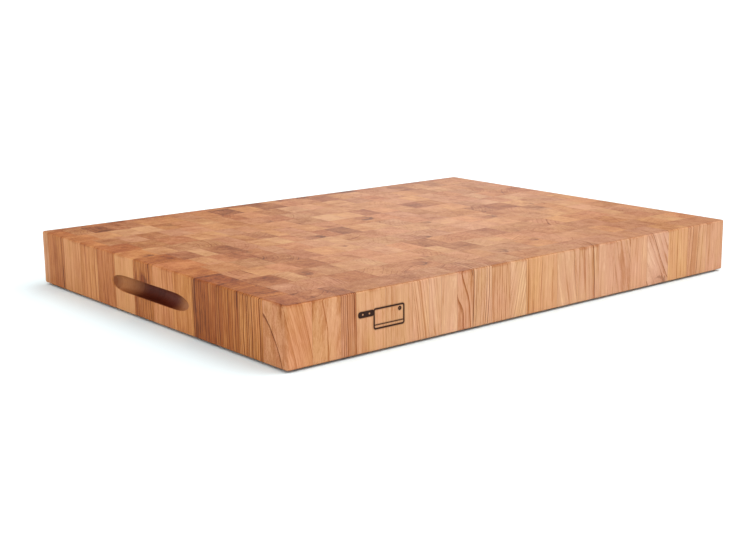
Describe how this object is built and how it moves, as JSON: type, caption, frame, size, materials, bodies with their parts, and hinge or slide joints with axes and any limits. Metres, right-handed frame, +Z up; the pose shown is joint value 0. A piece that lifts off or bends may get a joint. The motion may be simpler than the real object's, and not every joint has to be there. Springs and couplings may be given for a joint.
{
  "type": "cutting board",
  "caption": "Thick rectangular end-grain maple butcher-block board of upright glued blocks, with a finger grip routed into each short end.",
  "frame": {"origin": "centre of the bottom face", "axes": "+X along the length towards the right end, +Y to the back, +Z up out of the cutting face"},
  "size_m": [0.6096, 0.4572, 0.0571],
  "materials": {
    "maple_pale": "oiled, pale sapwood",
    "maple_tan": "oiled, light tan",
    "maple_amber": "oiled, striped amber",
    "maple_brown": "oiled, brown heartwood"
  },
  "bodies": {
    "root": {"row_01_left_end_block": "maple_tan", "row_01_even_blocks": "maple_tan", "row_01_odd_blocks": "maple_tan", "row_01_right_end_block": "maple_tan", "row_02_left_end_block": "maple_amber", "row_02_even_blocks": "maple_tan", "row_02_odd_blocks": "maple_pale", "row_02_right_end_block": "maple_pale", "row_03_left_end_block": "maple_amber", "row_03_even_blocks": "maple_tan", "row_03_odd_blocks": "maple_tan", "row_03_right_end_block": "maple_tan", "row_04_left_end_block": "maple_brown", "row_04_even_blocks": "maple_tan", "row_04_odd_blocks": "maple_pale", "row_04_right_end_block": "maple_amber", "row_05_left_end_block": "maple_amber", "row_05_even_blocks": "maple_tan", "row_05_odd_blocks": "maple_tan", "row_05_right_end_block": "maple_tan", "row_06_left_end_block": "maple_tan", "row_06_even_blocks": "maple_tan", "row_06_odd_blocks": "maple_pale", "row_06_right_end_block": "maple_pale", "row_07_left_end_block": "maple_brown", "row_07_even_blocks": "maple_tan", "row_07_odd_blocks": "maple_tan", "row_07_right_end_block": "maple_tan", "row_08_left_end_block": "maple_pale", "row_08_even_blocks": "maple_tan", "row_08_odd_blocks": "maple_pale", "row_08_right_end_block": "maple_brown", "row_09_left_end_block": "maple_tan", "row_09_even_blocks": "maple_tan", "row_09_odd_blocks": "maple_tan", "row_09_right_end_block": "maple_tan", "row_10_left_end_block": "maple_tan", "row_10_even_blocks": "maple_tan", "row_10_odd_blocks": "maple_pale", "row_10_right_end_block": "maple_amber", "row_11_left_end_block": "maple_tan", "row_11_even_blocks": "maple_tan", "row_11_odd_blocks": "maple_tan", "row_11_right_end_block": "maple_pale", "row_12_left_end_block": "maple_amber", "row_12_even_blocks": "maple_tan", "row_12_odd_blocks": "maple_pale", "row_12_right_end_block": "maple_tan", "row_13_left_end_block": "maple_tan", "row_13_even_blocks": "maple_tan", "row_13_odd_blocks": "maple_tan", "row_13_right_end_block": "maple_tan"}
  },
  "joints": []
}
